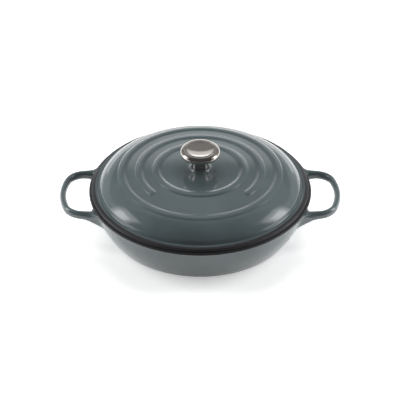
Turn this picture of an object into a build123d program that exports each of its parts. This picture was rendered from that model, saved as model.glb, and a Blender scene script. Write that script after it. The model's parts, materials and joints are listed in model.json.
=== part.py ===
from build123d import *
import os
from math import cos, radians, sin, sqrt

# An enamelled cast-iron braiser: a shallow round pan with two cast loop handles, and a domed
# lid with raised rings and a stainless knob. The origin is the bottom centre of the pan, +Z is
# up and the handles lie along X. Lengths are in millimetres and angles in degrees.

# Iron and enamel
iron_wall = 3.4
coat = 0.5
shell = iron_wall + 2 * coat

# Pan, measured over its enamel
rim_radius = 159.0
rim_width = 8.0
pan_height = 64.5
wall_spread = 38.5
heel_radius = 14.8
heel_turn = 54.5
throat_blend = 12.0
lip_overhang = 1.2
lip_height = 3.6
rim_face = 2.6
rim_bevel = 0.94
rim_outer_round = 1.0
rim_inner_round = 1.4
black_band = 3.0

# Loop handles, measured over their enamel
handle_projection = 42.5
handle_drop = 10.5
handle_width = 9.4
handle_depth = 12.6
bow_radius = 100.0
bow_half_angle = 19.3
corner_radius = 26.0
limb_splay = 6.7
flare_length = 27.0
flare_spread = 5.0
flare_drop = 4.0
flare_shares = ((0, 0), (0.3, 0.06), (0.62, 0.34), (0.85, 0.7), (1, 1))
root_growth_share = 1.4

# Lid, measured over its enamel, inwards from the pan's rim and upwards from its seat on the rim
lid_setback = 3.5
crown_rise = 36.0
crown_radius = 830.0
shoulder_width = 29.2
shoulder_foot_setback = 12.3
shoulder_foot_rise = 10.5
shoulder_foot_round = 6.0
trough_setback = 10.9
trough_rise = 4.7
trough_round = 2.0
bead_setback = 6.5
bead_rise = 5.7
bead_round = 9.0
edge_rise = 4.7
edge_round = 3.2
skirt_clearance = 1.2
skirt_depth = 4.2
skirt_wall = 3.2
skirt_round = 0.8
black_edge = 3.2

# Raised rings on the lid, counted from the knob outwards, one of them open at the front
ring_count = 3
ring_setback = 42.8
ring_spacing = 24.9
open_ring = 1
ring_gap = 100.0
ring_width = 9.2
ring_height = 1.5

# Boss under the knob
boss_margin = 1.2
boss_height = 2.6
boss_flare = 1.8
boss_round = 0.7
screw_pad_margin = 2.0
screw_pad_height = 0.4

# Knob
neck_radius = 11.6
neck_height = 8.0
cap_radius = 28.5
cap_rise = 24.7
cap_underside_setback = 4.5
cap_underside_rise = 20.0
cap_edge_width = 6.5
knob_height = 30.0
dish_flange = 1.5
dish_depth = 3.2
dish_wall = 1.0
knob_wall = 1.2
insert_length = 15.0
insert_mouth = 0.8

# Fastener that holds the knob from inside the lid
screw_radius = 3.0
screw_reach = 12.0
screw_head_radius = 6.0
screw_head_height = 3.6
screw_head_round = 1.6
drive_length = 6.6
drive_width = 1.3
drive_depth = 2.0
drive_slots = 2
washer_radius = 9.0
washer_wall = 1.0
screw_clearance = 0.4
thread_clearance = 0.05
fit_clearance = 0.1

# Places worked out from the sizes above
overrun = coat
base_radius = rim_radius - wall_spread
throat_radius = rim_radius - rim_width
band_low = pan_height - black_band
side_top = (rim_radius - lip_overhang, pan_height - lip_height)
handle_reach = rim_radius + handle_projection
handle_height = pan_height - handle_drop
seat = pan_height
lid_radius = rim_radius - lid_setback
bead_radius = lid_radius - bead_setback
trough_radius = lid_radius - trough_setback
shoulder_foot_radius = lid_radius - shoulder_foot_setback
shoulder_start = shoulder_foot_radius - shoulder_width
skirt_radius = throat_radius - skirt_clearance
skirt_inner_radius = skirt_radius - skirt_wall
throat_low = seat - skirt_depth - skirt_clearance
flange_middle = seat + edge_rise / 2
crown_centre = seat + crown_rise - crown_radius
crown_middle = seat + crown_rise - shell / 2
outer_ring_radius = lid_radius - ring_setback
ring_radii = [outer_ring_radius - ring_spacing * place for place in reversed(range(ring_count))]
ring_arc_radius = (ring_width**2 / 4 + ring_height**2) / (2 * ring_height)
boss_radius = neck_radius + boss_margin
boss_top = seat + crown_rise + boss_height
cove_height = crown_centre + sqrt((crown_radius + boss_flare) ** 2 - (boss_radius + boss_flare) ** 2)
cap_underside_radius = cap_radius - cap_underside_setback
dish_radius = cap_radius - cap_edge_width
knob_floor = boss_top + knob_wall
knob_top = boss_top + knob_height
ledge_top = knob_top - dish_wall
ledge_low = ledge_top - knob_wall
dish_hollow_radius = dish_radius - dish_flange - dish_wall
dish_arc_radius = (dish_hollow_radius**2 + dish_depth**2) / (2 * dish_depth)
dish_centre = knob_top - dish_depth + dish_arc_radius
hole_radius = screw_radius + screw_clearance
screw_pad_radius = washer_radius + screw_pad_margin
pad_low = seat + crown_rise - shell - screw_pad_height
washer_low = pad_low - washer_wall
head_low = washer_low - screw_head_height
front = -90
arc_shares = (0, 0.5, 1)
bevel_share = 2 - sqrt(2)
upright = (Align.CENTER, Align.CENTER, Align.MIN)


def crown_height(radius):
    """Height of the lid's crown at a distance from the axis."""
    return crown_centre + sqrt(crown_radius**2 - radius**2)


def inset_arc(arc, inset):
    """Draw an arc concentric with another, nearer to its centre by an inset."""
    centre = arc.arc_center
    scale = 1 - inset / arc.radius
    return ThreePointArc(*[centre + (arc @ place - centre) * scale for place in arc_shares])


def block(left, low, right, high):
    """A rectangle of a half section, from its lower left corner to its upper right one."""
    with BuildSketch(mode=Mode.PRIVATE) as area:
        with BuildLine():
            Polyline((left, low), (right, low), (right, high), (left, high), close=True)
        make_face()
    return area.sketch


def corner(sketch, radius, height):
    """The corner of a half section that lies nearest to a point."""
    return sketch.vertices().sort_by_distance((radius, height))[0]


def turn(section, mode=Mode.ADD):
    """Sweep a half section round the axis, into the part that is being built."""
    with BuildSketch(Plane.XZ) as profile:
        add(section)
    revolve(profile.sketch, mode=mode)


# Half sections of the pan

with BuildLine() as pan_curve:
    heel_arc = CenterArc((base_radius, heel_radius), heel_radius, front, heel_turn)
    side_arc = TangentArc(heel_arc @ 1, side_top, tangent=heel_arc % 1)


def pan_form(inset):
    """Half section of the pan without a hollow, its skin inside the finished one by an inset."""
    with BuildSketch(mode=Mode.PRIVATE) as form:
        with BuildLine():
            heel = inset_arc(heel_arc, inset)
            side = inset_arc(side_arc, inset)
            top = side @ 1
            Polyline(top, (top.X, pan_height), (0, pan_height), (0, inset), heel @ 0)
        make_face()
    return form.sketch


def pan_shape(inset):
    """Half section of the pan, all its skin inside the finished one by an inset."""
    rim = rim_radius - inset
    top = pan_height - inset
    throat = throat_radius + inset
    bevel = rim_bevel - inset * bevel_share
    with BuildSketch(mode=Mode.PRIVATE) as shape:
        add(pan_form(inset))
        with BuildLine():
            Polyline(
                (side_top[0] - inset, side_top[1]),
                (rim, pan_height - rim_face),
                (rim, pan_height),
                (throat, pan_height),
                close=True,
            )
        make_face()
        add(block(0, top, rim_radius, pan_height + overrun), mode=Mode.SUBTRACT)
        with BuildSketch(mode=Mode.PRIVATE) as cavity:
            add(pan_form(shell - inset))
            add(block(0, 0, throat, pan_height), mode=Mode.INTERSECT)
            add(block(0, throat_low, throat, pan_height))
            fillet(corner(cavity, throat, throat_low - throat_blend), throat_blend)
        add(cavity.sketch, mode=Mode.SUBTRACT)
        chamfer(corner(shape, rim, top), bevel)
        fillet(corner(shape, rim, top - bevel), rim_outer_round - inset)
        fillet(corner(shape, rim - bevel, top), rim_outer_round - inset)
        fillet(corner(shape, throat, top), rim_inner_round - inset)
    return shape.sketch


with BuildSketch() as pan_enamel_section:
    add(pan_shape(0))
    add(pan_shape(coat), mode=Mode.SUBTRACT)

with BuildSketch() as pan_interior_section:
    add(pan_enamel_section.sketch)
    add(pan_form(shell / 2), mode=Mode.INTERSECT)
    add(block(0, band_low, rim_radius, pan_height + overrun), mode=Mode.SUBTRACT)

with BuildSketch() as pan_rim_section:
    add(pan_enamel_section.sketch)
    add(block(0, band_low, rim_radius + overrun, pan_height + overrun), mode=Mode.INTERSECT)

with BuildSketch() as pan_exterior_section:
    add(pan_enamel_section.sketch)
    add(pan_form(shell / 2), mode=Mode.SUBTRACT)
    add(block(0, band_low, rim_radius + overrun, pan_height + overrun), mode=Mode.SUBTRACT)
    add(block(0, -overrun, base_radius, shell), mode=Mode.SUBTRACT)


# Loop handles


def handle_form(inset):
    """Both loop handles with their roots, their skin inside the finished one by an inset."""
    half_width = handle_width / 2
    half_depth = handle_depth / 2
    corner_turn = 90 - bow_half_angle - limb_splay
    with BuildPart() as loop:
        with BuildLine(Plane.XY.offset(handle_height)) as path:
            bow = CenterArc(
                (handle_reach - half_width - bow_radius, 0), bow_radius, -bow_half_angle, 2 * bow_half_angle
            )
            JernArc(bow @ 1, bow % 1, corner_radius, corner_turn)
            JernArc(bow @ 0, -(bow % 0), corner_radius, -corner_turn)
        wire = path.wire()
        with BuildSketch(Plane(origin=wire @ 0, x_dir=(0, 0, 1), z_dir=wire % 0)):
            Ellipse(half_depth - inset, half_width - inset)
        sweep(path=wire)
        for end, heading in ((wire @ 0, -(wire % 0)), (wire @ 1, wire % 1)):
            root_run = (end.X - base_radius) / abs(heading.X)
            stations = [(flare_length * run, growth) for run, growth in flare_shares]
            stations.append((root_run, root_growth_share))
            for run, growth in stations:
                drop = flare_drop * growth
                centre = end + heading * run - Vector(0, 0, drop)
                with BuildSketch(Plane(origin=centre, x_dir=(0, 0, 1), z_dir=heading)):
                    Ellipse(half_depth + drop - inset, half_width + flare_spread * growth - inset)
            loft()
        mirror(about=Plane.YZ)
    return loop.part


handle_iron = handle_form(coat)
handle_skin = handle_form(0)


# Pan

with BuildPart() as pan_casting:
    add(handle_iron)
    turn(pan_form(shell / 2), Mode.SUBTRACT)
    turn(pan_shape(coat))

with BuildPart() as pan_exterior_enamel:
    add(handle_skin)
    turn(pan_form(shell / 2), Mode.SUBTRACT)
    turn(pan_exterior_section.sketch)
    add(pan_casting.part, mode=Mode.SUBTRACT)

with BuildPart() as pan_base_enamel:
    Cylinder(base_radius, coat, align=upright)

with BuildPart() as pan_interior_enamel:
    turn(pan_interior_section.sketch)

with BuildPart() as pan_rim_enamel:
    turn(pan_rim_section.sketch)


# Half sections of the lid

shoulder_top = (shoulder_start, crown_height(shoulder_start))
shoulder_foot = (shoulder_foot_radius, seat + shoulder_foot_rise)

with BuildLine() as lid_curve:
    crown_arc = ThreePointArc(
        (0, crown_height(0)), (shoulder_start / 2, crown_height(shoulder_start / 2)), shoulder_top
    )
    shoulder_arc = TangentArc(shoulder_top, shoulder_foot, tangent=crown_arc % 1)
lid_curve_end = shoulder_arc @ 1

cove_centre = Vector(boss_radius + boss_flare, cove_height)
crown_axis_point = Vector(0, crown_centre)

with BuildLine() as cove_curve:
    cove_arc = TangentArc(
        (boss_radius, cove_height),
        crown_axis_point + (cove_centre - crown_axis_point).normalized() * crown_radius,
        tangent=(0, -1),
    )


def lid_form(inset):
    """Half section of the lid's dome without a hollow, its skin inside the finished one by an inset."""
    foot = trough_radius - inset
    with BuildSketch(mode=Mode.PRIVATE) as form:
        with BuildLine():
            crown = inset_arc(crown_arc, inset)
            shoulder = inset_arc(shoulder_arc, inset)
            Polyline(
                shoulder @ 1,
                (foot, seat + trough_rise - inset),
                (foot, seat - skirt_depth - inset),
                (0, seat - skirt_depth - inset),
                crown @ 0,
            )
        make_face()
    return form.sketch


def ring_section(radius, inset):
    """The raised part of a ring, a segment of a circle that is cut off inside the lid's wall."""
    base = crown_height(radius) - shell / 2
    centre = crown_height(radius) + ring_height - ring_arc_radius
    with BuildSketch(mode=Mode.PRIVATE) as ridge:
        with Locations((radius, centre)):
            Circle(ring_arc_radius - inset)
        add(block(0, base, rim_radius, boss_top), mode=Mode.INTERSECT)
    return ridge.sketch


def lid_shape(inset):
    """Half section of the lid, all its skin inside the finished one by an inset."""
    underside = seat + inset
    rim = lid_radius - inset
    flange_root = trough_radius - shell
    with BuildSketch(mode=Mode.PRIVATE) as shape:
        add(lid_form(inset))
        add(block(0, seat - skirt_depth - shell, lid_radius, underside), mode=Mode.SUBTRACT)
        with BuildLine():
            Polyline(
                (flange_root, underside),
                (rim, underside),
                (rim, seat + edge_rise - inset),
                (bead_radius, seat + bead_rise - inset),
                (trough_radius - inset, seat + trough_rise - inset),
                (flange_root, seat + trough_rise - inset),
                close=True,
            )
        make_face()
        fillet(corner(shape, rim, seat + edge_rise - inset), edge_round - inset)
        fillet(corner(shape, bead_radius, seat + bead_rise - inset), bead_round - inset)
        fillet(corner(shape, trough_radius - inset, seat + trough_rise - inset), trough_round + inset)
        shoulder_end = lid_curve_end - Vector(inset, inset)
        fillet(corner(shape, shoulder_end.X, shoulder_end.Y), shoulder_foot_round - inset)
        add(block(skirt_inner_radius + inset, seat - skirt_depth + inset, skirt_radius - inset, underside))
        add(lid_form(shell - inset), mode=Mode.SUBTRACT)
        for radius in (skirt_inner_radius + inset, skirt_radius - inset):
            fillet(corner(shape, radius, seat - skirt_depth + inset), skirt_round - inset)
        add(block(0, pad_low + inset, screw_pad_radius - inset, crown_middle))
        with BuildLine():
            cove = inset_arc(cove_arc, -inset)
            foot, side = cove @ 1, cove @ 0
            Polyline(
                foot,
                (foot.X, crown_middle),
                (0, crown_middle),
                (0, boss_top - inset),
                (side.X, boss_top - inset),
                side,
            )
        make_face()
        fillet(corner(shape, boss_radius - inset, boss_top - inset), boss_round - inset)
        for place, radius in enumerate(ring_radii):
            if place != open_ring:
                add(ring_section(radius, inset))
        add(block(0, pad_low - overrun, hole_radius, boss_top + overrun), mode=Mode.SUBTRACT)
    return shape.sketch


def open_ring_form(inset):
    """The ring that is open at the front, with round ends, its skin inside the finished one by an inset."""
    radius = ring_radii[open_ring]
    centre = crown_height(radius) + ring_height - ring_arc_radius
    turned = 360 - ring_gap
    start = radians(front + ring_gap / 2)
    outwards = Vector(cos(start), sin(start), 0)
    with BuildPart() as ring:
        with BuildSketch(Plane(origin=(0, 0, 0), x_dir=outwards, z_dir=outwards.cross(Vector(0, 0, 1)))):
            add(ring_section(radius, inset))
        revolve(revolution_arc=turned)
        for end in (start, start + radians(turned)):
            with Locations((radius * cos(end), radius * sin(end), centre)):
                Sphere(ring_arc_radius - inset)
        split(bisect_by=Plane.XY.offset(crown_height(radius) - shell / 2))
    return ring.part


with BuildSketch() as lid_enamel_section:
    add(lid_shape(0))
    add(lid_shape(coat), mode=Mode.SUBTRACT)

with BuildSketch() as lid_rim_section:
    add(lid_enamel_section.sketch)
    with BuildSketch(mode=Mode.PRIVATE) as black_area:
        add(block(skirt_inner_radius, seat - skirt_depth, lid_radius, flange_middle))
        add(block(lid_radius - black_edge, seat, lid_radius, boss_top))
    add(black_area.sketch, mode=Mode.INTERSECT)

with BuildSketch() as lid_interior_section:
    add(lid_enamel_section.sketch)
    add(lid_rim_section.sketch, mode=Mode.SUBTRACT)
    with BuildSketch(mode=Mode.PRIVATE) as inner_area:
        add(lid_form(shell / 2))
        add(block(0, seat, skirt_inner_radius, flange_middle))
    add(inner_area.sketch, mode=Mode.INTERSECT)

with BuildSketch() as lid_exterior_section:
    add(lid_enamel_section.sketch)
    add(lid_rim_section.sketch, mode=Mode.SUBTRACT)
    add(lid_interior_section.sketch, mode=Mode.SUBTRACT)


# Lid

with BuildPart() as lid_casting:
    turn(lid_shape(coat))
    add(open_ring_form(coat))

with BuildPart() as lid_exterior_enamel:
    turn(lid_exterior_section.sketch)
    add(open_ring_form(0))
    add(lid_casting.part, mode=Mode.SUBTRACT)

with BuildPart() as lid_interior_enamel:
    turn(lid_interior_section.sketch)

with BuildPart() as lid_rim_enamel:
    turn(lid_rim_section.sketch)


# Knob

with BuildLine() as knob_curve:
    flare_arc = TangentArc(
        (neck_radius, boss_top + neck_height),
        (cap_underside_radius, boss_top + cap_underside_rise),
        tangent=(0, 1),
    )
    edge_arc = TangentArc(flare_arc @ 1, (cap_radius, boss_top + cap_rise), tangent=flare_arc % 1)
    top_arc = TangentArc(edge_arc @ 1, (dish_radius, knob_top), tangent=edge_arc % 1)


def knob_form(inset):
    """Half section of the knob's body without a hollow, its skin inside the finished one by an inset."""
    with BuildSketch(mode=Mode.PRIVATE) as form:
        with BuildLine():
            flare = inset_arc(flare_arc, -inset)
            inset_arc(edge_arc, inset)
            top = inset_arc(top_arc, inset) @ 1
            foot = flare @ 0
            Polyline(top, (0, top.Y), (0, boss_top), (foot.X, boss_top), foot)
        make_face()
    return form.sketch


with BuildSketch() as shell_section:
    add(knob_form(0))
    with BuildSketch(mode=Mode.PRIVATE) as knob_hollow:
        add(knob_form(knob_wall))
        add(block(0, knob_floor, cap_radius, ledge_low), mode=Mode.INTERSECT)
    add(knob_hollow.sketch, mode=Mode.SUBTRACT)
    add(block(0, ledge_top, dish_radius, knob_top + overrun), mode=Mode.SUBTRACT)
    add(block(0, ledge_low, dish_radius - dish_flange, ledge_top), mode=Mode.SUBTRACT)
    add(block(0, boss_top, hole_radius, knob_floor), mode=Mode.SUBTRACT)

with BuildSketch() as dish_section:
    with Locations((0, dish_centre)):
        Circle(dish_arc_radius + dish_wall)
    add(block(0, knob_floor, dish_radius - dish_flange, knob_top), mode=Mode.INTERSECT)
    add(block(0, ledge_top, dish_radius - fit_clearance, knob_top))
    with Locations((0, dish_centre)):
        Circle(dish_arc_radius, mode=Mode.SUBTRACT)

with BuildPart() as knob_shell:
    turn(shell_section.sketch)

with BuildPart() as knob_dish:
    turn(dish_section.sketch)

with BuildPart() as knob_insert:
    with Locations((0, 0, knob_floor)):
        Cylinder(neck_radius - knob_wall - fit_clearance, insert_length, align=upright)
        Cylinder(screw_radius + thread_clearance, insert_length, align=upright, mode=Mode.SUBTRACT)
    mouth = knob_insert.edges().filter_by(GeomType.CIRCLE).group_by(Axis.Z)[0].sort_by(SortBy.RADIUS)[0]
    chamfer(mouth, insert_mouth)


# Fastener

with BuildPart() as screw_washer:
    with Locations((0, 0, washer_low)):
        Cylinder(washer_radius, washer_wall, align=upright)
        Cylinder(hole_radius, washer_wall, align=upright, mode=Mode.SUBTRACT)

with BuildPart() as knob_screw:
    with Locations((0, 0, head_low)):
        Cylinder(screw_head_radius, screw_head_height, align=upright)
    fillet(knob_screw.edges().group_by(Axis.Z)[0], screw_head_round)
    with Locations((0, 0, head_low)):
        with PolarLocations(0, drive_slots, angular_range=180):
            Box(drive_length, drive_width, drive_depth, align=upright, mode=Mode.SUBTRACT)
    with Locations((0, 0, washer_low)):
        Cylinder(screw_radius, knob_floor + screw_reach - washer_low, align=upright)


# Files

pieces = {
    "pan_casting": pan_casting,
    "pan_exterior_enamel": pan_exterior_enamel,
    "pan_base_enamel": pan_base_enamel,
    "pan_interior_enamel": pan_interior_enamel,
    "pan_rim_enamel": pan_rim_enamel,
    "lid_casting": lid_casting,
    "lid_exterior_enamel": lid_exterior_enamel,
    "lid_interior_enamel": lid_interior_enamel,
    "lid_rim_enamel": lid_rim_enamel,
    "knob_shell": knob_shell,
    "knob_dish": knob_dish,
    "knob_insert": knob_insert,
    "knob_screw": knob_screw,
    "screw_washer": screw_washer,
}

os.makedirs("parts", exist_ok=True)
for name, piece in pieces.items():
    piece.part.label = name
    export_step(piece.part, f"parts/{name}.step")
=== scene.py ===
"""An enamelled cast-iron braiser with a stainless knob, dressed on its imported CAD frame.

Sizes in the classes are millimetres and degrees, and the studio's are metres, as Blender's own are.
The frame is the CAD one: the origin is the bottom centre of the pan, +Z is up, the handles lie
along X and the front faces -Y.
"""

import json
import logging
import math
from dataclasses import dataclass, replace
from enum import Enum
from typing import Any, Callable, Iterable, Self, TypeVar

import bpy
from bpy.types import Material, Node, NodeSocket, NodeTree, Object, World
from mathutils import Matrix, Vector

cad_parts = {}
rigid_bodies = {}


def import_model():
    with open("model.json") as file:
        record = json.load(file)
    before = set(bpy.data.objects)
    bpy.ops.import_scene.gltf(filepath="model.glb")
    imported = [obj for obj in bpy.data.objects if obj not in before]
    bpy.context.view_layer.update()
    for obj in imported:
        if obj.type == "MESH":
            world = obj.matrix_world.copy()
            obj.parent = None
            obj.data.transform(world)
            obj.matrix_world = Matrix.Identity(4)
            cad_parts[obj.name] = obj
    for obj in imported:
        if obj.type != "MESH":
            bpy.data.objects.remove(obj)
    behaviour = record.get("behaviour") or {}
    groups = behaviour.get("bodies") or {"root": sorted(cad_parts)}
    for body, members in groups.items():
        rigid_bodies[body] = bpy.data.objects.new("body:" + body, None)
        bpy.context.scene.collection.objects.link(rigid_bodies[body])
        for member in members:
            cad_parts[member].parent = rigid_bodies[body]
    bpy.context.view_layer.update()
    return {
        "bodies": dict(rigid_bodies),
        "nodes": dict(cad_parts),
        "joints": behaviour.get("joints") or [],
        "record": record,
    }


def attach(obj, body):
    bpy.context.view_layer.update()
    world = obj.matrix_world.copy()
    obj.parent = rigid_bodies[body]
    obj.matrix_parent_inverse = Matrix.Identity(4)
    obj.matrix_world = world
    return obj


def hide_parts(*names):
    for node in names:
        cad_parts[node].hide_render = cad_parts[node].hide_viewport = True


MM = 0.001
# vertices closer than this are merged
MERGE = 0.01 * MM
IMAGE_SIZE = 400
WHITE = "#FFFFFF"

# sizes that pieces share, in millimetres
COAT = 0.5
SEAT = 64.5
BOSS_TOP = 103.1
SCREW_HOLE = 3.4

Point = tuple[float, float]
Place = tuple[float, float, float]
log = logging.getLogger("braiser")


class Body(Enum):
    """The CAD bodies that pieces ride on."""

    PAN = "pan"
    LID = "lid"


class Slot(Enum):
    """The record's material slots."""

    CAST_IRON = "cast_iron"
    GREY_ENAMEL = "grey_enamel"
    BLACK_ENAMEL = "black_enamel"
    CREAM_ENAMEL = "cream_enamel"
    STAINLESS = "stainless"
    PLATED_STEEL = "plated_steel"


class Element(Enum):
    """The elements of a mesh that are picked by their place."""

    VERTEX = "VERT"
    FACE = "FACE"


# Colour and nodes


def linear(code: str) -> tuple[float, float, float, float]:
    """Turn an sRGB hex colour into the linear colour that a shader reads.

    Args:
        code: Six hex digits after a hash sign.

    Returns:
        Linear red, green and blue, and an alpha of one.
    """
    shares = (int(code[place : place + 2], 16) / 255 for place in (1, 3, 5))
    red, green, blue = (
        share / 12.92 if share <= 0.04045 else ((share + 0.055) / 1.055) ** 2.4 for share in shares
    )
    return (red, green, blue, 1.0)


def per_metre(size: float) -> float:
    """Scale of a pattern whose features are a size in millimetres apart."""
    return 1 / (size * MM)


def add_node(
    tree: NodeTree, kind: str, inputs: dict[str | int, Any] | None = None, **settings: Any
) -> Node:
    """Add a node, with its settings, its values and its links.

    Args:
        tree: The node tree that gets the node.
        kind: Blender's name for the node's type.
        inputs: For each input by name or number, a value or the output socket that feeds it.
        **settings: The node's own properties.

    Returns:
        The new node.
    """
    node = tree.nodes.new(kind)
    for name, value in settings.items():
        setattr(node, name, value)
    for name, value in (inputs or {}).items():
        if isinstance(value, NodeSocket):
            tree.links.new(value, node.inputs[name])
        else:
            node.inputs[name].default_value = value
    return node


def empty_tree(owner: Material | World) -> NodeTree:
    """Give a material or a world a node tree with nothing in it.

    Args:
        owner: The material or the world.

    Returns:
        Its node tree.
    """
    owner.use_nodes = True
    owner.node_tree.nodes.clear()
    return owner.node_tree


# Finishes


@dataclass(frozen=True)
class Finish:
    """What every finish has: its name, and the way its node tree starts and ends."""

    name: str

    def material(self) -> Material:
        """Make the finish's material.

        Returns:
            A material whose nodes draw the finish in object coordinates.
        """
        material = bpy.data.materials.new(self.name)
        tree = empty_tree(material)
        place = add_node(tree, "ShaderNodeTexCoord").outputs["Object"]
        shader = add_node(tree, "ShaderNodeBsdfPrincipled", self.inputs(tree, place))
        add_node(tree, "ShaderNodeOutputMaterial", {"Surface": shader.outputs["BSDF"]})
        return material

    def inputs(self, tree: NodeTree, place: NodeSocket) -> dict[str, Any]:
        """Draw the finish's own nodes and give what feeds its shader."""
        raise NotImplementedError


@dataclass(frozen=True)
class VitreousEnamel(Finish):
    """Porcelain enamel, a glass sprayed on cast iron and fired.

    It gives the eye a hard gloss over a slightly rolling skin, an orange peel of a few millimetres
    that follows the sand casting below, with soft clouds where the glass lies thicker.

    Attributes:
        body: The colour where the glass lies thick.
        thin: The colour where it lies thin.
        peel: The size of the orange peel.
        cloud: The size of the clouds.
        cloud_edges: The levels of the cloud pattern between which the colour changes.
        gloss: The least and the greatest roughness.
    """

    body: str
    thin: str
    peel: float = 3.2
    peel_depth: float = 0.012
    cloud: float = 55.0
    cloud_edges: Point = (0.35, 0.65)
    gloss: Point = (0.17, 0.25)
    ior: float = 1.52

    def inputs(self, tree: NodeTree, place: NodeSocket) -> dict[str, Any]:
        """Draw the glass: clouds of colour, an orange peel and a gloss that varies a little.

        Args:
            tree: The material's node tree.
            place: The socket that gives object coordinates.

        Returns:
            The values and the sockets that feed the shader.
        """
        clouds = add_node(
            tree,
            "ShaderNodeTexNoise",
            {"Vector": place, "Scale": per_metre(self.cloud), "Detail": 3.0, "Roughness": 0.5},
        )
        low, high = self.cloud_edges
        depth = add_node(
            tree,
            "ShaderNodeMapRange",
            {"Value": clouds.outputs["Fac"], "From Min": low, "From Max": high},
        )
        colour = add_node(
            tree,
            "ShaderNodeMix",
            {0: depth.outputs["Result"], 6: linear(self.body), 7: linear(self.thin)},
            data_type="RGBA",
        )
        peel = add_node(
            tree,
            "ShaderNodeTexNoise",
            {"Vector": place, "Scale": per_metre(self.peel), "Detail": 2.0, "Roughness": 0.45},
        )
        skin = add_node(
            tree,
            "ShaderNodeBump",
            {"Height": peel.outputs["Fac"], "Distance": self.peel_depth * MM},
        )
        gloss = add_node(
            tree,
            "ShaderNodeMapRange",
            {"Value": peel.outputs["Fac"], "To Min": self.gloss[0], "To Max": self.gloss[1]},
        )
        return {
            "Base Color": colour.outputs[2],
            "Roughness": gloss.outputs["Result"],
            "Normal": skin.outputs["Normal"],
            "IOR": self.ior,
        }


@dataclass(frozen=True)
class GroundCoat(Finish):
    """Matte black ground enamel, fired thin and left without a glaze.

    It gives the eye a soft satin black with a fine grit, a little smoother where it is worn.

    Attributes:
        body: The colour of the whole coat.
        worn: The colour where it is worn.
        wear: The size of the worn places.
        grit: The size of the grit.
        gloss: The roughness of the whole coat, and where it is worn.
        specular: The strength of its reflections, which the grit scatters.
    """

    body: str
    worn: str
    wear: float = 24.0
    grit: float = 1.1
    grit_depth: float = 0.02
    gloss: Point = (0.5, 0.36)
    ior: float = 1.5
    specular: float = 0.3

    def inputs(self, tree: NodeTree, place: NodeSocket) -> dict[str, Any]:
        """Draw the satin black with its grit.

        Args:
            tree: The material's node tree.
            place: The socket that gives object coordinates.

        Returns:
            The values and the sockets that feed the shader.
        """
        wear = add_node(
            tree,
            "ShaderNodeTexNoise",
            {"Vector": place, "Scale": per_metre(self.wear), "Detail": 5.0, "Roughness": 0.6},
        )
        colour = add_node(
            tree,
            "ShaderNodeMix",
            {0: wear.outputs["Fac"], 6: linear(self.body), 7: linear(self.worn)},
            data_type="RGBA",
        )
        grit = add_node(
            tree,
            "ShaderNodeTexNoise",
            {"Vector": place, "Scale": per_metre(self.grit), "Detail": 3.0, "Roughness": 0.6},
        )
        skin = add_node(
            tree,
            "ShaderNodeBump",
            {"Height": grit.outputs["Fac"], "Distance": self.grit_depth * MM},
        )
        gloss = add_node(
            tree,
            "ShaderNodeMapRange",
            {"Value": wear.outputs["Fac"], "To Min": self.gloss[0], "To Max": self.gloss[1]},
        )
        return {
            "Base Color": colour.outputs[2],
            "Roughness": gloss.outputs["Result"],
            "Normal": skin.outputs["Normal"],
            "IOR": self.ior,
            "Specular IOR Level": self.specular,
        }


@dataclass(frozen=True)
class SpunStainless(Finish):
    """Stainless sheet spun on a lathe and polished to a satin.

    It gives the eye a bright metal with faint rings round its axis, drawn at 0.35 mm because the
    real ones are too fine to show.

    Attributes:
        groove: The width of a ring.
        gloss: The least and the greatest roughness.
    """

    body: str
    groove: float = 0.35
    groove_depth: float = 0.0012
    gloss: Point = (0.12, 0.24)

    def inputs(self, tree: NodeTree, place: NodeSocket) -> dict[str, Any]:
        """Draw the metal with the rings that spinning leaves.

        Args:
            tree: The material's node tree.
            place: The socket that gives object coordinates.

        Returns:
            The values and the sockets that feed the shader.
        """
        # a ring is where the distance from the axis and the height are the same
        level = (1.0, 1.0, 0.0)
        flat = add_node(tree, "ShaderNodeVectorMath", {0: place, 1: level}, operation="MULTIPLY")
        radius = add_node(
            tree, "ShaderNodeVectorMath", {0: flat.outputs["Vector"]}, operation="LENGTH"
        )
        parts = add_node(tree, "ShaderNodeSeparateXYZ", {"Vector": place})
        rings = add_node(
            tree, "ShaderNodeCombineXYZ", {"X": radius.outputs["Value"], "Y": parts.outputs["Z"]}
        )
        marks = add_node(
            tree,
            "ShaderNodeTexNoise",
            {"Vector": rings.outputs["Vector"], "Scale": per_metre(self.groove), "Detail": 2.0},
        )
        skin = add_node(
            tree,
            "ShaderNodeBump",
            {"Height": marks.outputs["Fac"], "Distance": self.groove_depth * MM},
        )
        gloss = add_node(
            tree,
            "ShaderNodeMapRange",
            {"Value": marks.outputs["Fac"], "To Min": self.gloss[0], "To Max": self.gloss[1]},
        )
        return {
            "Base Color": linear(self.body),
            "Metallic": 1.0,
            "Roughness": gloss.outputs["Result"],
            "Normal": skin.outputs["Normal"],
        }


@dataclass(frozen=True)
class ZincPlate(Finish):
    """Zinc plated and clear passivated steel, as bought fasteners have.

    It gives the eye a dull silver with small crystals that catch the light apart.

    Attributes:
        crystal: The size of a crystal.
        gloss: The least and the greatest roughness.
    """

    body: str
    crystal: float = 1.4
    gloss: Point = (0.28, 0.46)

    def inputs(self, tree: NodeTree, place: NodeSocket) -> dict[str, Any]:
        """Draw the plated metal with its crystals.

        Args:
            tree: The material's node tree.
            place: The socket that gives object coordinates.

        Returns:
            The values and the sockets that feed the shader.
        """
        cells = add_node(
            tree, "ShaderNodeTexVoronoi", {"Vector": place, "Scale": per_metre(self.crystal)}
        )
        grey = add_node(tree, "ShaderNodeRGBToBW", {"Color": cells.outputs["Color"]})
        gloss = add_node(
            tree,
            "ShaderNodeMapRange",
            {"Value": grey.outputs["Val"], "To Min": self.gloss[0], "To Max": self.gloss[1]},
        )
        return {
            "Base Color": linear(self.body),
            "Metallic": 1.0,
            "Roughness": gloss.outputs["Result"],
        }


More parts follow.
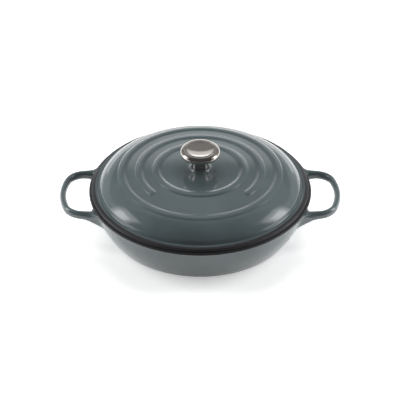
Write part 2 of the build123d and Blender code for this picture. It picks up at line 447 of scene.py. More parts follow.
@dataclass(frozen=True)
class SandCastIron(Finish):
    """Grey iron as it leaves a sand mould and a shot blast.

    It gives the eye a dark dull grey, rough at the size of the sand.

    Attributes:
        scale: The colour of the scale on it.
        sand: The size of the sand's grains.
        metallic: The share of bare metal.
        roughness: The roughness all over.
    """

    body: str
    scale: str
    sand: float = 0.8
    sand_depth: float = 0.12
    metallic: float = 0.4
    roughness: float = 0.72

    def inputs(self, tree: NodeTree, place: NodeSocket) -> dict[str, Any]:
        """Draw the iron's sandy skin.

        Args:
            tree: The material's node tree.
            place: The socket that gives object coordinates.

        Returns:
            The values and the sockets that feed the shader.
        """
        sand = add_node(
            tree,
            "ShaderNodeTexNoise",
            {"Vector": place, "Scale": per_metre(self.sand), "Detail": 4.0, "Roughness": 0.65},
        )
        colour = add_node(
            tree,
            "ShaderNodeMix",
            {0: sand.outputs["Fac"], 6: linear(self.body), 7: linear(self.scale)},
            data_type="RGBA",
        )
        skin = add_node(
            tree,
            "ShaderNodeBump",
            {"Height": sand.outputs["Fac"], "Distance": self.sand_depth * MM},
        )
        return {
            "Base Color": colour.outputs[2],
            "Metallic": self.metallic,
            "Roughness": self.roughness,
            "Normal": skin.outputs["Normal"],
        }


FINISHES: dict[Slot, Finish] = {
    Slot.CAST_IRON: SandCastIron("sand_cast_iron", body="#3A3836", scale="#4B4744"),
    Slot.GREY_ENAMEL: VitreousEnamel(
        "grey_vitreous_enamel", body="#4A5456", thin="#505B5D", gloss=(0.12, 0.18), ior=1.7
    ),
    Slot.BLACK_ENAMEL: GroundCoat("matte_black_ground_enamel", body="#262628", worn="#303032"),
    Slot.CREAM_ENAMEL: VitreousEnamel(
        "cream_vitreous_enamel", body="#E4DCC8", thin="#DDD3BC", gloss=(0.12, 0.2)
    ),
    Slot.STAINLESS: SpunStainless("spun_stainless_steel", body="#C3BEB9"),
    Slot.PLATED_STEEL: ZincPlate("zinc_plated_steel", body="#B9BCBE"),
}


# Modelling


@dataclass
class Outline:
    """A half section, drawn from point to point as distance from the axis and height.

    Attributes:
        points: The points so far.
        heading: The way the last stroke went, in radians.
    """

    points: list[Point]
    heading: float = 0.0

    def line(self, radius: float, height: float, steps: int = 1) -> Self:
        """Draw a straight stroke to a point.

        Args:
            radius: The point's distance from the axis.
            height: The point's height.
            steps: The number of equal parts.

        Returns:
            The outline, for the next stroke.
        """
        start = self.points[-1]
        for step in range(1, steps + 1):
            share = step / steps
            self.points.append(
                (start[0] + (radius - start[0]) * share, start[1] + (height - start[1]) * share)
            )
        self.heading = math.atan2(height - start[1], radius - start[0])
        return self

    def bend(self, radius: float, height: float, steps: int) -> Self:
        """Draw an arc that leaves along the last stroke's heading and ends at a point.

        Args:
            radius: The end's distance from the axis.
            height: The end's height.
            steps: The number of equal parts.

        Returns:
            The outline, for the next stroke.
        """
        start = self.points[-1]
        run, rise = radius - start[0], height - start[1]
        turn = 2 * math.remainder(math.atan2(rise, run) - self.heading, math.tau)
        chord = math.hypot(run, rise)
        for step in range(1, steps + 1):
            part = turn * step / steps
            reach = chord * math.sin(part / 2) / math.sin(turn / 2)
            way = self.heading + part / 2
            self.points.append((start[0] + reach * math.cos(way), start[1] + reach * math.sin(way)))
        self.heading += turn
        return self


def deselect() -> None:
    """Leave edit mode and select nothing."""
    if bpy.context.mode != "OBJECT":
        bpy.ops.object.mode_set(mode="OBJECT")
    bpy.ops.object.select_all(action="DESELECT")


def pick(
    piece: Object, wanted: Callable[[Vector], bool], element: Element = Element.VERTEX
) -> None:
    """Select vertices or faces of a piece by their place, and stay in edit mode.

    Args:
        piece: The piece, the active object.
        wanted: Says whether a place is wanted.
        element: What is selected.
    """
    bpy.ops.object.mode_set(mode="EDIT")
    bpy.ops.mesh.select_mode(type=element.value)
    bpy.ops.mesh.select_all(action="DESELECT")
    bpy.ops.object.mode_set(mode="OBJECT")
    mesh = piece.data
    if element is Element.VERTEX:
        mesh.vertices.foreach_set("select", [wanted(vertex.co) for vertex in mesh.vertices])
    else:
        mesh.polygons.foreach_set("select", [wanted(face.center) for face in mesh.polygons])
    bpy.ops.object.mode_set(mode="EDIT")


def draw(name: str, outline: Outline) -> Object:
    """Extrude a point along an outline on the XZ plane, and stay in edit mode.

    Args:
        name: The new piece's name.
        outline: The half section.

    Returns:
        The new piece, a chain of edges.
    """
    deselect()
    bpy.ops.mesh.primitive_plane_add(size=MM)
    piece = bpy.context.object
    piece.name = name
    piece.data.name = name
    bpy.ops.object.mode_set(mode="EDIT")
    bpy.ops.mesh.select_mode(type="VERT")
    bpy.ops.mesh.merge(type="CENTER")
    first = outline.points[0]
    bpy.ops.transform.translate(value=(first[0] * MM, 0, first[1] * MM))
    for start, end in zip(outline.points, outline.points[1:]):
        step = ((end[0] - start[0]) * MM, 0, (end[1] - start[1]) * MM)
        bpy.ops.mesh.extrude_region_move(TRANSFORM_OT_translate={"value": step})
    return piece


def round_corner(piece: Object, corner: Point, radius: float, segments: int) -> None:
    """Round a corner of a drawn outline with a vertex bevel, and stay in edit mode.

    Args:
        piece: The outline's piece.
        corner: The corner's distance from the axis and height.
        radius: The round's radius.
        segments: The number of parts of the round.
    """
    place = Vector((corner[0] * MM, 0, corner[1] * MM))
    bpy.ops.object.mode_set(mode="OBJECT")
    mesh = piece.data
    near = min(mesh.vertices, key=lambda vertex: (vertex.co - place).length)
    sides = [
        mesh.vertices[edge.vertices[1] if edge.vertices[0] == near.index else edge.vertices[0]].co
        for edge in mesh.edges
        if near.index in edge.vertices
    ]
    turn = math.pi - (sides[0] - near.co).angle(sides[1] - near.co)
    middle = near.co.copy()
    pick(piece, lambda co: (co - middle).length < MERGE)
    offset = radius * MM * math.tan(turn / 2)
    bpy.ops.mesh.bevel(offset=offset, segments=segments, affect="VERTICES", clamp_overlap=True)


def tidy(piece: Object) -> None:
    """Merge a piece's doubles and turn its faces outwards, and leave edit mode.

    Args:
        piece: The piece, the active object.
    """
    bpy.ops.object.mode_set(mode="EDIT")
    bpy.ops.mesh.select_mode(type="VERT")
    bpy.ops.mesh.select_all(action="SELECT")
    bpy.ops.mesh.remove_doubles(threshold=MERGE)
    bpy.ops.mesh.normals_make_consistent(inside=False)
    bpy.ops.object.mode_set(mode="OBJECT")


def apply(piece: Object, kind: str, **settings: Any) -> None:
    """Give a piece a modifier and apply it.

    Args:
        piece: The piece.
        kind: The modifier's type.
        **settings: The modifier's properties.
    """
    deselect()
    piece.select_set(True)
    bpy.context.view_layer.objects.active = piece
    modifier = piece.modifiers.new(kind.title(), kind)
    for name, value in settings.items():
        setattr(modifier, name, value)
    bpy.ops.object.modifier_apply(modifier=modifier.name)


def quarter_to_whole(piece: Object) -> None:
    """Mirror a quarter of a piece over to the other three.

    Args:
        piece: The quarter, between the X axis and the Y axis.
    """
    sides = (True, True, False)
    apply(piece, "MIRROR", use_axis=sides, use_mirror_merge=True, merge_threshold=MERGE)
    tidy(piece)


def spin(steps: int, degrees: float, centre: Point = (0.0, 0.0)) -> None:
    """Spin what is selected anticlockwise, seen from above; the operator itself turns clockwise.

    Args:
        steps: The number of steps.
        degrees: The whole angle.
        centre: The upright axis's place, across and back.
    """
    middle = (centre[0] * MM, centre[1] * MM, 0)
    bpy.ops.mesh.spin(steps=steps, angle=math.radians(degrees), center=middle, axis=(0, 0, -1))


def turn_round(piece: Object, segments: int) -> None:
    """Turn a drawn outline round the axis, a quarter at first.

    Args:
        piece: The outline's piece, in edit mode.
        segments: The number of segments of the whole turn.
    """
    bpy.ops.mesh.select_mode(type="VERT")
    bpy.ops.mesh.select_all(action="SELECT")
    spin(steps=segments // 4, degrees=90)
    bpy.ops.object.mode_set(mode="OBJECT")
    quarter_to_whole(piece)


def give_wall(piece: Object, wall: float, crease: float = 40.0) -> None:
    """Give a skin its wall, inwards, and shade it smooth except at its edges.

    Args:
        piece: The skin.
        wall: The wall's thickness.
        crease: The angle above which an edge stays sharp.
    """
    apply(piece, "SOLIDIFY", thickness=wall * MM, offset=-1, use_even_offset=True)
    bpy.ops.object.shade_smooth_by_angle(angle=math.radians(crease))


def finish_piece(
    piece: Object, finishes: dict[Slot, Material], body: Body, slot: Slot, *nodes: str
) -> None:
    """Dress a new piece, hang it on its CAD body and hide the CAD nodes that it stands for.

    Args:
        piece: The new piece.
        finishes: The material of each slot.
        body: The CAD body that it rides on.
        slot: The record's slot that it takes its finish from.
        *nodes: The CAD nodes that it stands for.
    """
    piece.data.materials.clear()
    piece.data.materials.append(finishes[slot])
    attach(piece, body.value)
    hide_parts(*nodes)
    log.info("%s: %d faces, rides on %s", piece.name, len(piece.data.polygons), body.value)


def dress_node(frame: dict[str, Any], node: str, material: Material) -> None:
    """Give a CAD node its finish.

    Args:
        node: The node's name.
        material: The finish.
    """
    mesh = frame["nodes"][node].data
    mesh.materials.clear()
    mesh.materials.append(material)
    log.info("%s: dressed as %s", node, material.name)


# Sub-assemblies


@dataclass
class Pan:
    """The shallow pan with its two loop handles, cast in one and enamelled.

    Attributes:
        heel_start: Where the heel's arc leaves the flat base.
        heel_end: Where it meets the wall.
        wall_top: Where the wall's curve ends.
        wall_parts: The number of parts of that curve, from which the rows are taken.
        side_end: Where colour gives way to the black coat of the rim.
        root_rows: The heights of the rows that a handle's root covers.
        side_rows: The number of rows below them.
        segments: The number of segments of the whole wall.
        throat_radius: The inside of the rim.
        lip_height: Where the rim's upright face begins.
        handle_centre: The middle of a handle's bow, out and up.
        handle_section: Half the width and half the height of the bow's section.
        handle_sides: The number of sides of that section.
        bow_centre: How far out the centre of the bow's arc lies.
        corner_centre: The centre of the arc of a handle's corner, from above.
        limb_end: Where the corner gives way to the straight limb, from above.
        limb_heading: The angle at which the limb then runs to the wall.
        limb_steps: For each ring of a limb, the run to it and its share of the flare.
        flare: How much wider on each side a handle grows at its root.
        flare_drop: How much deeper it grows there, and lower.
        root_segments: The first and the last segment that a handle's root covers.
        root_spare: How far past its outline the root's edge may lie.
        ring_spare: How far off the plane of a limb's end its last ring may lie.
        ring_reach: How far from the middle of a limb's end its last ring may lie.
    """

    coat: float = COAT
    heel_start: Point = (120.5, 0.0)
    heel_end: Point = (132.549, 6.205)
    wall_top: Point = (157.8, 60.9)
    wall_parts: int = 400
    side_end: Point = (158.52, 61.5)
    root_rows: tuple[float, ...] = (38.5, 45.9, 53.4, 60.6)
    side_rows: int = 5
    segments: int = 128
    rim_radius: float = 159.0
    throat_radius: float = 151.0
    height: float = SEAT
    lip_height: float = 61.9
    rim_outer_round: float = 1.6
    rim_inner_round: float = 1.4
    rim_segments: int = 320
    handle_centre: Point = (196.8, 54.0)
    handle_section: Point = (4.7, 6.3)
    handle_sides: int = 14
    bow_centre: float = 96.8
    bow_angle: float = 19.3
    corner_centre: Point = (166.64, 24.46)
    corner_angle: float = 64.0
    limb_end: Point = (169.67, 50.28)
    limb_heading: float = 173.3
    limb_steps: tuple[Point, ...] = ((6.0, 0.08), (11.0, 0.25), (15.0, 0.5))
    flare: float = 5.0
    flare_drop: float = 4.0
    root_segments: tuple[int, int] = (5, 9)
    root_spare: float = 0.2
    ring_spare: float = 0.5
    ring_reach: float = 20.0

    def side(self) -> Outline:
        """Draw the outside of the wall, with rows where the handles' roots leave it.

        Returns:
            The outline from the base to the black band.
        """
        outline = Outline([self.heel_start]).bend(*self.heel_end, steps=4)
        wall = Outline([self.heel_end], outline.heading).bend(*self.wall_top, steps=self.wall_parts)
        low, rise = self.heel_end[1], self.root_rows[0] - self.heel_end[1]
        lower = [low + rise * row / self.side_rows for row in range(1, self.side_rows)]
        for height in (*lower, *self.root_rows):
            outline.points.append(min(wall.points, key=lambda point: abs(point[1] - height)))
        outline.points.append(self.side_end)
        return outline

    def limb_way(self) -> Vector:
        """The direction in which a limb runs to the wall."""
        way = math.radians(self.limb_heading)
        return Vector((math.cos(way), math.sin(way), 0))

    def at_root(self, place: Vector, spare: float = 0.0) -> bool:
        """Say whether a place lies in the patch of wall that a handle's root covers.

        Args:
            place: The place, in metres.
            spare: How far past the patch's outline it may lie.

        Returns:
            True where it lies there.
        """
        step = math.tau / self.segments
        left, right = (segment * step for segment in self.root_segments)
        low, high = self.root_rows[0], self.root_rows[-1]
        over = spare / self.rim_radius
        azimuth, height = math.atan2(place.y, place.x), place.z / MM
        on_wall = math.hypot(place.x, place.y) < self.rim_radius * MM
        beside = left - over < azimuth < right + over
        return on_wall and beside and low - spare < height < high + spare

    def _ring_up(self) -> None:
        """Start a handle's section as a ring at the middle of the bow, in edit mode."""
        middle = (self.handle_centre[0] * MM, 0, self.handle_centre[1] * MM)
        bpy.ops.mesh.select_all(action="DESELECT")
        bpy.ops.mesh.primitive_circle_add(
            vertices=self.handle_sides, radius=MM, location=middle, rotation=(math.pi / 2, 0, 0)
        )
        # subdivision draws a ring in by this much
        shrink = 2 / 3 + math.cos(math.tau / self.handle_sides) / 3
        bpy.ops.transform.resize(
            value=(self.handle_section[0] / shrink, 1, self.handle_section[1] / shrink),
            center_override=middle,
        )

    def _limb(self) -> Vector:
        """Carry a handle's ring along its limb, growing towards the root, in edit mode.

        Returns:
            The middle of the last ring.
        """
        start = Vector((*self.limb_end, self.handle_centre[1]))
        middle, before = start, 0.0
        width, depth = self.handle_section
        for run, share in self.limb_steps:
            end = start + self.limb_way() * run - Vector((0, 0, self.flare_drop * share))
            bpy.ops.mesh.extrude_region_move(TRANSFORM_OT_translate={"value": (end - middle) * MM})
            wider = (width + self.flare * share) / (width + self.flare * before)
            deeper = (depth + self.flare_drop * share) / (depth + self.flare_drop * before)
            bpy.ops.transform.resize(value=(1, wider, deeper), center_override=end * MM)
            middle, before = end, share
        return middle

    def exterior(self) -> Object:
        """Model the glazed outside: the wall and both handles as one smooth skin.

        Returns:
            The piece, with its wall.
        """
        piece = draw("pan_outer_glaze", self.side())
        bpy.ops.mesh.select_all(action="SELECT")
        spin(steps=self.segments // 4, degrees=90)
        pick(piece, self.at_root, Element.FACE)
        bpy.ops.mesh.delete(type="FACE")
        bpy.ops.mesh.select_mode(type="VERT")
        self._ring_up()
        spin(steps=4, degrees=self.bow_angle, centre=(self.bow_centre, 0.0))
        spin(steps=7, degrees=self.corner_angle, centre=self.corner_centre)
        end = self._limb() * MM

        def at_either_end(place: Vector) -> bool:
            """Say whether a place lies on the root's edge in the wall or on the limb's last ring.

            Args:
                place: The place, in metres.

            Returns:
                True where it lies on one of them.
            """
            off = (place - end) / MM
            on_plane = abs(off.dot(self.limb_way())) < self.ring_spare
            on_ring = on_plane and off.length < self.ring_reach
            return on_ring or self.at_root(place, self.root_spare)

        pick(piece, at_either_end)
        bpy.ops.mesh.bridge_edge_loops(type="SINGLE", number_cuts=1, interpolation="LINEAR")
        quarter_to_whole(piece)
        apply(piece, "SUBSURF", levels=2, render_levels=2)
        give_wall(piece, self.coat)
        return piece

    def rim(self) -> Object:
        """Model the black coat on the pan's rim.

        Returns:
            The piece, with its wall.
        """
        outline = Outline([self.side_end])
        outline.line(self.rim_radius, self.lip_height).line(self.rim_radius, self.height)
        outline.line(self.throat_radius, self.height, steps=3)
        outline.line(self.throat_radius, self.side_end[1])
        piece = draw("pan_rim_coat", outline)
        round_corner(piece, (self.rim_radius, self.height), self.rim_outer_round, segments=6)
        round_corner(piece, (self.throat_radius, self.height), self.rim_inner_round, segments=6)
        turn_round(piece, self.rim_segments)
        give_wall(piece, self.coat)
        return piece

    def build(self, frame: dict[str, Any], finishes: dict[Slot, Material]) -> None:
        """Model and dress the pan.

        Args:
            finishes: The material of each slot.
        """
        finish_piece(self.exterior(), finishes, Body.PAN, Slot.GREY_ENAMEL, "pan_exterior_enamel")
        finish_piece(self.rim(), finishes, Body.PAN, Slot.BLACK_ENAMEL, "pan_rim_enamel")
        dress_node(frame, "pan_casting", finishes[Slot.CAST_IRON])
        dress_node(frame, "pan_base_enamel", finishes[Slot.BLACK_ENAMEL])
        dress_node(frame, "pan_interior_enamel", finishes[Slot.CREAM_ENAMEL])


@dataclass
class Lid:
    """The domed lid with its boss, its three raised rings and its black edge.

    Attributes:
        crown_top: The height that the crown would have at the axis.
        crown_radius: The radius of the crown's arc.
        boss_foot: Where the boss's sloped side ends and its cove begins.
        cove_foot: How far out the cove meets the crown.
        shoulder_start: How far out the shoulder leaves the crown.
        shoulder_foot: Where the shoulder ends.
        trough: The bottom of the groove inside the flange's bead.
        bead: The top of the bead.
        edge: The flange's corner.
        black_start: How far out colour gives way to black.
        skirt: The inside and the outside of the skirt.
        rings: The middles of the raised rings.
        open_ring: Which of them is open at the front.
        ring_gap: The angle of its opening.
        ring_half: Half a ring's width.
        ring_rows: How far off a ring's middle the rows on each side of it are.
        row_spare: How far off a ring's middle line its vertices may lie.
        coarse_step: About how far apart the other rows of the crown are.
    """

    coat: float = COAT
    seat: float = SEAT
    crown_top: float = 100.5
    crown_radius: float = 830.0
    hole_radius: float = SCREW_HOLE
    boss_radius: float = 13.4
    boss_top: float = BOSS_TOP
    boss_foot: Point = (15.4, 100.9)
    boss_round: float = 0.7
    cove_foot: float = 19.5
    shoulder_start: float = 114.0
    shoulder_foot: Point = (143.2, 75.0)
    trough: Point = (144.6, 69.2)
    bead: Point = (149.0, 70.2)
    edge: Point = (155.5, 69.2)
    black_start: float = 150.0
    foot_round: float = 6.0
    trough_round: float = 2.0
    bead_round: float = 5.0
    edge_round: float = 3.2
    skirt: Point = (146.6, 149.8)
    skirt_low: float = 60.3
    skirt_round: float = 0.8
    rings: tuple[float, ...] = (62.9, 87.8, 112.7)
    open_ring: int = 1
    ring_gap: float = 100.0
    ring_half: float = 5.0
    ring_height: float = 1.5
    ring_rows: tuple[float, ...] = (0.0, 1.5, 2.8, 3.7, 4.3, 4.7, 5.0)
    row_spare: float = 0.1
    coarse_step: float = 3.4
    segments: int = 384

    def crown(self, radius: float) -> float:
        """Height of the crown at a distance from the axis."""
        return self.crown_top - self.crown_radius + math.sqrt(self.crown_radius**2 - radius**2)

    def edge_height(self, radius: float) -> float:
        """Height of the flange's top between the bead and the edge."""
        share = (radius - self.bead[0]) / (self.edge[0] - self.bead[0])
        return self.bead[1] + (self.edge[1] - self.bead[1]) * share

    def crown_radii(self, start: float) -> list[float]:
        """Choose the crown's rows, close together where the rings rise.

        Args:
            start: The distance from the axis at which the crown begins.

        Returns:
            The rows' distances from the axis, outwards.
        """
        rows = {self.shoulder_start}
        for ring in self.rings:
            places = [ring + side * row for side in (-1, 1) for row in self.ring_rows]
            rows |= {place for place in places if place < self.shoulder_start}
        radii = []
        radius = start
        for row in sorted(rows):
            parts = max(1, round((row - radius) / self.coarse_step))
            radii += [radius + (row - radius) * part / parts for part in range(1, parts + 1)]
            radius = row
        return radii

    def top(self) -> Outline:
        """Draw the top of the lid from the screw's hole to the black edge.

        Returns:
            The outline, its corners still sharp.
        """
        foot = (self.cove_foot, self.crown(self.cove_foot))
        outline = Outline([(self.hole_radius, self.boss_top)])
        outline.line(self.boss_radius, self.boss_top, steps=3).line(*self.boss_foot)
        # the cove ends along the crown
        chord = math.atan2(foot[1] - self.boss_foot[1], foot[0] - self.boss_foot[0])
        outline.heading = 2 * chord + math.asin(self.cove_foot / self.crown_radius)
        outline.bend(*foot, steps=8)
        for radius in self.crown_radii(self.cove_foot):
            outline.line(radius, self.crown(radius))
        outline.heading = -math.asin(self.shoulder_start / self.crown_radius)
        outline.bend(*self.shoulder_foot, steps=35)
        outline.line(*self.trough).line(*self.bead)
        outline.line(self.black_start, self.edge_height(self.black_start))
        return outline

    def raise_ring(self, piece: Object, radius: float, gap: float) -> None:
        """Raise a ring on the crown as a rounded ridge.

        Args:
            piece: The lid's skin.
            radius: The ring's middle.
            gap: The angle at the front that it leaves out.
        """

        def on_ring(place: Vector) -> bool:
            """Say whether a place lies on the ring's middle line.

            Args:
                place: The place, in metres.

            Returns:
                True where it lies there.
            """
            on_line = abs(math.hypot(place.x, place.y) / MM - radius) < self.row_spare
            from_front = abs(math.degrees(math.atan2(place.x, -place.y)))
            return on_line and place.z > self.seat * MM and from_front >= gap / 2

        pick(piece, on_ring)
        bpy.ops.transform.translate(
            value=(0, 0, self.ring_height * MM),
            use_proportional_edit=True,
            proportional_edit_falloff="SPHERE",
            proportional_size=self.ring_half * MM,
        )
        bpy.ops.object.mode_set(mode="OBJECT")

    def exterior(self) -> Object:
        """Model the glazed top of the lid.

        Returns:
            The piece, with its wall.
        """
        piece = draw("lid_outer_glaze", self.top())
        round_corner(piece, (self.boss_radius, self.boss_top), self.boss_round, segments=5)
        round_corner(piece, self.boss_foot, self.boss_round, segments=5)
        round_corner(piece, self.shoulder_foot, self.foot_round, segments=5)
        round_corner(piece, self.trough, self.trough_round, segments=7)
        round_corner(piece, self.bead, self.bead_round, segments=6)
        turn_round(piece, self.segments)
        for number, radius in enumerate(self.rings):
            self.raise_ring(piece, radius, self.ring_gap if number == self.open_ring else 0.0)
        give_wall(piece, self.coat, crease=70.0)
        return piece

    def rim(self) -> Object:
        """Model the black coat round the lid's edge, under its flange and on its skirt.

        Returns:
            The piece, with its wall.
        """
        inner, outer = self.skirt
        outline = Outline([(self.black_start, self.edge_height(self.black_start))])
        outline.line(*self.edge).line(self.edge[0], self.seat)
        outline.line(outer, self.seat).line(outer, self.skirt_low)
        outline.line(inner, self.skirt_low).line(inner, (self.seat + self.edge[1]) / 2)
        piece = draw("lid_rim_coat", outline)
        round_corner(piece, self.edge, self.edge_round, segments=8)
        round_corner(piece, (outer, self.skirt_low), self.skirt_round, segments=4)
        round_corner(piece, (inner, self.skirt_low), self.skirt_round, segments=4)
        turn_round(piece, self.segments)
        give_wall(piece, self.coat)
        return piece

    def build(self, frame: dict[str, Any], finishes: dict[Slot, Material]) -> None:
        """Model and dress the lid.

        Args:
            finishes: The material of each slot.
        """
        finish_piece(self.exterior(), finishes, Body.LID, Slot.GREY_ENAMEL, "lid_exterior_enamel")
        finish_piece(self.rim(), finishes, Body.LID, Slot.BLACK_ENAMEL, "lid_rim_enamel")
        dress_node(frame, "lid_casting", finishes[Slot.CAST_IRON])
        dress_node(frame, "lid_interior_enamel", finishes[Slot.CREAM_ENAMEL])


@dataclass
class Knob:
    """The spun stainless knob: a neck that flares into a mushroom cap, closed by a dish.

    Attributes:
        flare_end: Where the neck's flare meets the cap's round side.
        cap_end: The widest place of the cap.
        wall: The wall of the knob's body.
        dish_wall: The thickness of the dish, whose new skin takes the upper half.
        dish_clearance: The gap round the dish.
        dish_flange: The width of its level edge.
        ledge: The width of the step in the body that the dish lies on.
    """

    low: float = BOSS_TOP
    hole_radius: float = SCREW_HOLE
    neck_radius: float = 11.6
    neck_top: float = 111.1
    flare_end: Point = (24.0, 123.1)
    cap_end: Point = (28.5, 127.8)
    top: float = 133.1
    dish_radius: float = 22.0
    wall: float = 1.2
    dish_wall: float = 1.0
    dish_clearance: float = 0.1
    dish_flange: float = 2.5
    dish_depth: float = 3.2
    foot_round: float = 0.5
    lip_round: float = 0.35
    ledge: float = 1.5
    segments: int = 160

    def shell(self) -> Object:
        """Model the knob's body.

        Returns:
            The piece, with its wall.
        """
        outline = Outline([(self.hole_radius, self.low)])
        outline.line(self.neck_radius, self.low, steps=2)
        outline.line(self.neck_radius, self.neck_top, steps=3)
        outline.bend(*self.flare_end, steps=16)
        outline.bend(*self.cap_end, steps=10)
        outline.bend(self.dish_radius, self.top, steps=14)
        outline.line(self.dish_radius, self.top - self.dish_wall)
        outline.line(self.dish_radius - self.ledge, self.top - self.dish_wall)
        piece = draw("knob_body", outline)
        round_corner(piece, (self.neck_radius, self.low), self.foot_round, segments=4)
        round_corner(piece, (self.dish_radius, self.top), self.lip_round, segments=3)
        turn_round(piece, self.segments)
        give_wall(piece, self.wall)
        return piece

    def dish(self) -> Object:
        """Model the dished disc that closes the knob.

        Returns:
            The piece, with its wall.
        """
        outer = self.dish_radius - self.dish_clearance
        hollow = self.dish_radius - self.dish_flange
        outline = Outline([(outer, self.top - self.dish_wall / 2), (outer, self.top)])
        outline.line(hollow, self.top, steps=2)
        outline.heading = math.pi + 2 * math.atan2(self.dish_depth, hollow)
        outline.bend(0.0, self.top - self.dish_depth, steps=16)
        piece = draw("knob_top_dish", outline)
        round_corner(piece, (outer, self.top), self.lip_round, segments=3)
        round_corner(piece, (hollow, self.top), 2 * self.lip_round, segments=3)
        turn_round(piece, self.segments)
        give_wall(piece, self.dish_wall / 2)
        return piece

    def build(self, finishes: dict[Slot, Material]) -> None:
        """Model and dress the knob.

        Args:
            finishes: The material of each slot.
        """
        finish_piece(self.shell(), finishes, Body.LID, Slot.STAINLESS, "knob_shell")
        finish_piece(self.dish(), finishes, Body.LID, Slot.STAINLESS, "knob_dish")


@dataclass
class Fastener:
    """What holds the knob from inside: a threaded insert, a machine screw and a washer."""

    nodes: tuple[str, ...] = ("knob_insert", "knob_screw", "screw_washer")

    def build(self, frame: dict[str, Any], finishes: dict[Slot, Material]) -> None:
        """Dress the fastener's CAD nodes.

        Args:
            finishes: The material of each slot.
        """
        for node in self.nodes:
            dress_node(frame, node, finishes[Slot.PLATED_STEEL])


@dataclass(frozen=True)
class Stand:
    """What a lamp and a card share; one that stands on the left has a twin on the right.

    Attributes:
        name: Its name, with left in it where it has a twin.
        place: Its middle.
        size: Its width and its height.
    """

    name: str
    place: Place
    size: Point

    def twin(self) -> Self:
        """Give the mirror image that stands on the right."""
        name = self.name.replace("left", "right")
        return replace(self, name=name, place=(-self.place[0], *self.place[1:]))


@dataclass(frozen=True)
class Softbox(Stand):
    """A studio lamp.

    Attributes:
        aim: The height on the axis that it faces.
        power: Its power in watts.
        reflected: Whether reflections see it.
    """

    aim: float
    power: float
    reflected: bool = False


@dataclass(frozen=True)
class Flag(Stand):
    """A card of an even grey that only reflections see.

    Attributes:
        level: Its brightness, where one is white.
        tip: The angle that it is tipped by, from lying level.
        turn: The angle that it is then turned by.
    """

    level: float
    tip: float = 0.0
    turn: float = 0.0

    def twin(self) -> Self:
        """Give the mirror image that stands on the right."""
        return replace(super().twin(), turn=-self.turn)


Item = TypeVar("Item", bound=Stand)


def with_twins(stands: Iterable[Item]) -> list[Item]:
    """List lamps or cards, each one on the left followed by its twin.

    Args:
        stands: Those on the middle line and on the left.

    Returns:
        Each of them, and the twin of each one on the left.
    """
    groups = [[stand, stand.twin()] if stand.place[0] < 0 else [stand] for stand in stands]
    return [stand for group in groups for stand in group]


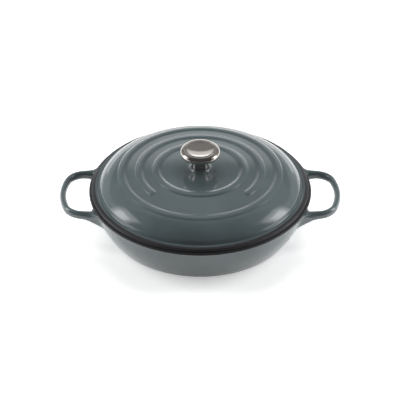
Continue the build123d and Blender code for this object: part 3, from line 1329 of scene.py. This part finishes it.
@dataclass
class Studio:
    """A pale floor, soft lamps, a white surround and the camera.

    Attributes:
        focal_pixels: The focal length in pixels of the photograph.
        sensor: The width of the camera's sensor in millimetres.
        far: How far the camera sees.
        distance: The camera's distance from the place that it looks at.
        elevation: The angle that the camera looks down at.
        aim_height: The height on the axis that it looks at.
        middle_pixel: The column of the photograph that the axis stands in.
        floor_glow: The light that the floor adds of itself where it is seen directly.
        surround: The strength of the surround where it isn't seen directly.
    """

    focal_pixels: float = 2785.0
    sensor: float = 36.0
    far: float = 50.0
    distance: float = 4.0
    elevation: float = 35.13
    aim_height: float = 0.04453
    middle_pixel: float = 200.2
    floor_size: float = 12.0
    floor_colour: str = "#FAFAFA"
    floor_glow: float = 0.4
    surround: float = 0.05
    softboxes: tuple[Softbox, ...] = (
        Softbox("rear_key", (0.0, 1.05, 1.58), (1.6, 0.9), aim=0.05, power=25.0),
        Softbox("left_high", (-1.15, 0.1, 1.4), (0.6, 0.9), aim=0.05, power=8.0),
        Softbox("left_low", (-1.75, 0.0, 0.25), (1.2, 0.5), aim=0.04, power=19.0),
        Softbox("rear_strip", (0.0, 3.2, 0.34), (4.0, 0.4), aim=0.08, power=8.5, reflected=True),
        Softbox("left_soft", (-1.66, 0.14, 0.78), (0.8, 1.35), aim=0.06, power=6.0, reflected=True),
        Softbox("left_core", (-1.6, 0.14, 0.62), (0.45, 0.85), aim=0.06, power=3.6, reflected=True),
    )
    flags: tuple[Flag, ...] = (
        Flag("ceiling_flag", (0.0, -1.735, 2.0), (8.0, 4.93), level=0.07),
        Flag("rear_card", (0.0, 1.69, 2.0), (8.0, 1.92), level=0.3),
        Flag("rear_flag", (0.0, 2.875, 2.0), (8.0, 0.45), level=0.05),
        Flag("rear_left_flag", (-3.85, 4.1, 2.0), (5.0, 2.0), level=0.1),
        Flag("front_flag", (0.0, -4.2, 1.1), (8.0, 2.0), level=0.07, tip=90.0),
        Flag("floor_flag", (0.0, -1.375, 0.002), (3.0, 2.25), level=0.07),
        Flag("left_card", (-3.1, 3.5, 1.1), (4.6, 2.0), level=0.5, tip=90.0, turn=42.0),
        Flag("left_flag", (-4.0, -1.3, 1.1), (5.8, 2.0), level=0.05, tip=90.0, turn=90.0),
    )

    def camera(self) -> None:
        """Place the camera as the photograph's stood."""
        data = bpy.data.cameras.new("camera")
        data.sensor_width = self.sensor
        data.lens = self.sensor * self.focal_pixels / IMAGE_SIZE
        data.shift_x = (IMAGE_SIZE / 2 - self.middle_pixel) / IMAGE_SIZE
        data.clip_end = self.far
        camera = bpy.data.objects.new("camera", data)
        bpy.context.scene.collection.objects.link(camera)
        tilt = math.radians(self.elevation)
        back, up = self.distance * math.cos(tilt), self.distance * math.sin(tilt)
        camera.location = (0.0, -back, self.aim_height + up)
        camera.rotation_euler = (math.pi / 2 - tilt, 0.0, 0.0)
        bpy.context.scene.camera = camera

    def seen_directly(self, tree: NodeTree) -> NodeSocket:
        """Say whether a ray comes from the camera, a reflection or a glass.

        Args:
            tree: The node tree of the floor or the world.

        Returns:
            A socket that is one for such a ray.
        """
        path = add_node(tree, "ShaderNodeLightPath")
        shown = add_node(
            tree,
            "ShaderNodeMath",
            {0: path.outputs["Is Camera Ray"], 1: path.outputs["Is Glossy Ray"]},
            operation="MAXIMUM",
        )
        every = add_node(
            tree,
            "ShaderNodeMath",
            {0: shown.outputs[0], 1: path.outputs["Is Transmission Ray"]},
            operation="MAXIMUM",
        )
        return every.outputs[0]

    def world(self) -> None:
        """Make the surround white to the eye and plain to the light."""
        world = bpy.data.worlds.new("surround")
        tree = empty_tree(world)
        seen = self.seen_directly(tree)
        level = add_node(
            tree, "ShaderNodeMapRange", {"Value": seen, "To Min": self.surround, "To Max": 1.0}
        )
        light = add_node(
            tree,
            "ShaderNodeBackground",
            {"Color": linear(WHITE), "Strength": level.outputs["Result"]},
        )
        add_node(tree, "ShaderNodeOutputWorld", {"Surface": light.outputs["Background"]})
        bpy.context.scene.world = world

    def floor(self) -> None:
        """Lay the floor, which is white to the eye and keeps the object's shadow."""
        deselect()
        bpy.ops.mesh.primitive_plane_add(size=self.floor_size)
        floor = bpy.context.object
        floor.name = "floor"
        material = bpy.data.materials.new("studio_floor")
        tree = empty_tree(material)
        seen = self.seen_directly(tree)
        level = add_node(
            tree, "ShaderNodeMath", {0: seen, 1: self.floor_glow}, operation="MULTIPLY"
        )
        paper = add_node(tree, "ShaderNodeBsdfDiffuse", {"Color": linear(self.floor_colour)})
        glow = add_node(
            tree, "ShaderNodeEmission", {"Color": linear(WHITE), "Strength": level.outputs[0]}
        )
        shader = add_node(
            tree, "ShaderNodeAddShader", {0: paper.outputs["BSDF"], 1: glow.outputs["Emission"]}
        )
        add_node(tree, "ShaderNodeOutputMaterial", {"Surface": shader.outputs["Shader"]})
        floor.data.materials.append(material)

    def lamps(self) -> None:
        """Hang the softboxes."""
        for box in with_twins(self.softboxes):
            data = bpy.data.lights.new(box.name, "AREA")
            data.shape = "RECTANGLE"
            data.size, data.size_y = box.size
            data.energy = box.power
            lamp = bpy.data.objects.new(box.name, data)
            lamp.visible_glossy = box.reflected
            bpy.context.scene.collection.objects.link(lamp)
            lamp.location = box.place
            way = Vector((0.0, 0.0, box.aim)) - Vector(box.place)
            lamp.rotation_euler = way.to_track_quat("-Z", "Y").to_euler()

    def cards(self) -> None:
        """Hang the cards that reflections see instead of the surround."""
        for flag in with_twins(self.flags):
            deselect()
            turned = (math.radians(flag.tip), 0.0, math.radians(flag.turn))
            bpy.ops.mesh.primitive_plane_add(size=1.0, location=flag.place, rotation=turned)
            card = bpy.context.object
            card.name = flag.name
            card.scale = (*flag.size, 1.0)
            material = bpy.data.materials.new("grey_card")
            tree = empty_tree(material)
            shade = add_node(
                tree, "ShaderNodeEmission", {"Color": linear(WHITE), "Strength": flag.level}
            )
            add_node(tree, "ShaderNodeOutputMaterial", {"Surface": shade.outputs["Emission"]})
            card.data.materials.append(material)
            card.visible_camera = False
            card.visible_diffuse = False
            card.visible_transmission = False
            card.visible_shadow = False

    def build(self) -> None:
        """Set the whole studio up."""
        self.camera()
        self.world()
        self.floor()
        self.lamps()
        self.cards()
        bpy.context.scene.view_settings.view_transform = "Standard"
        lamps, cards = len(with_twins(self.softboxes)), len(with_twins(self.flags))
        log.info("studio: %d lamps, %d cards", lamps, cards)


def main() -> None:
    """Load the frame, build every sub-assembly in order, then set the studio up."""
    logging.basicConfig(level=logging.INFO, format="%(name)s: %(message)s")
    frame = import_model()
    finishes = {slot: finish.material() for slot, finish in FINISHES.items()}
    Pan().build(frame, finishes)
    Lid().build(frame, finishes)
    Knob().build(finishes)
    Fastener().build(frame, finishes)
    Studio().build()


if __name__ == "__main__":
    main()
